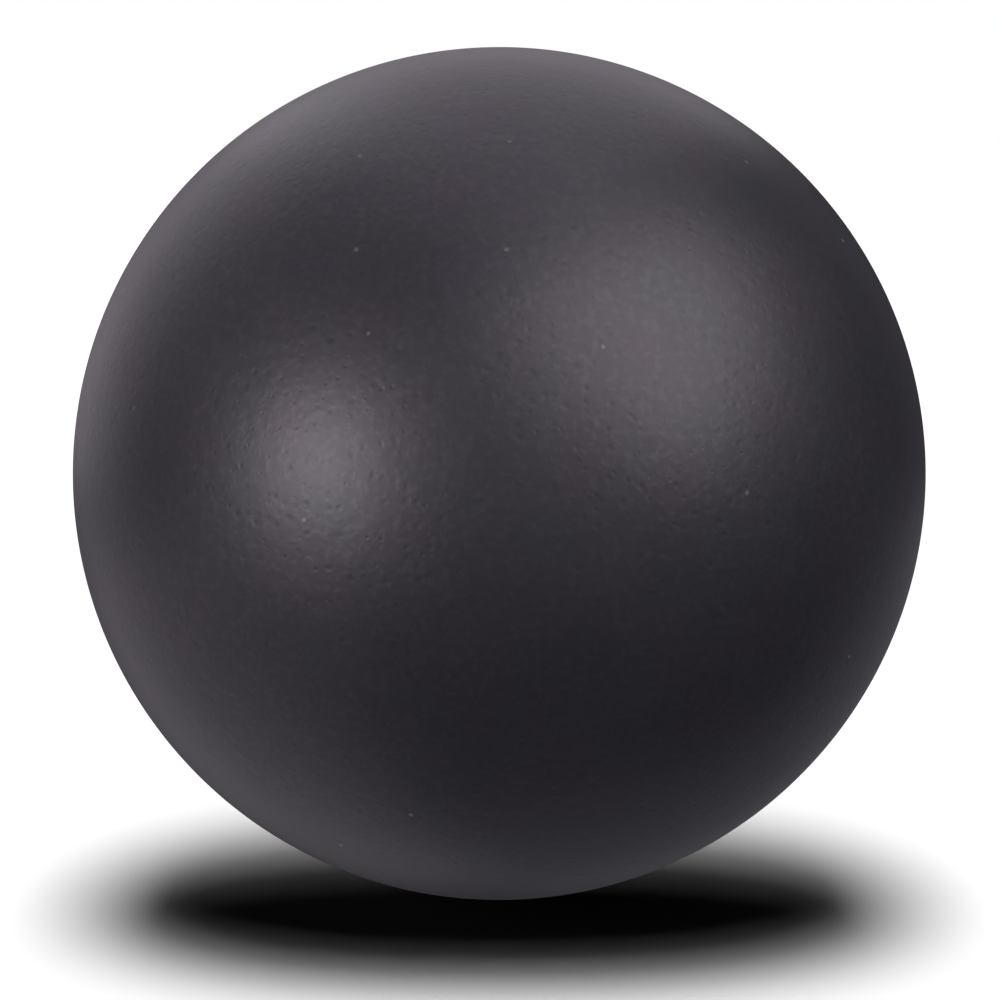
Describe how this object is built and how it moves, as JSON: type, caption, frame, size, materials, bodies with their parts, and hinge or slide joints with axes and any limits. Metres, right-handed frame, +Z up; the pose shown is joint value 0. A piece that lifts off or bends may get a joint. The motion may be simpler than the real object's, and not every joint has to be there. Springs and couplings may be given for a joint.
{
  "type": "case opening friction ball",
  "caption": "Matt black inflatable rubber ball that grips a screwed watch case back by friction so that the hand can turn it, with a self-sealing needle valve at the back.",
  "frame": {"origin": "centre of the ball", "axes": "+Y along the valve's axis, out of the ball at the back; +Z up; the plain front half faces -Y"},
  "size_m": [0.065, 0.0647, 0.065],
  "materials": {
    "friction_rubber": "matt, tacky, buffed",
    "nylon_thread": "wound thread in rubber cement",
    "butyl_rubber": "satin",
    "valve_rubber": "satin, moulded",
    "rubbered_cloth": "plain weave, rubber coated",
    "plug_rubber": "satin, lubricated"
  },
  "bodies": {
    "ball": {"front_half_skin": "friction_rubber", "back_half_skin": "friction_rubber", "thread_winding": "nylon_thread", "bladder": "butyl_rubber", "valve_boss": "valve_rubber", "valve_patch": "rubbered_cloth"},
    "plug": {"valve_plug": "plug_rubber"}
  },
  "joints": [
    {"name": "plug_pull", "type": "slide", "parent": "ball", "child": "plug", "axis": [0, 1, 0], "range_m": [0, 0.012]}
  ]
}
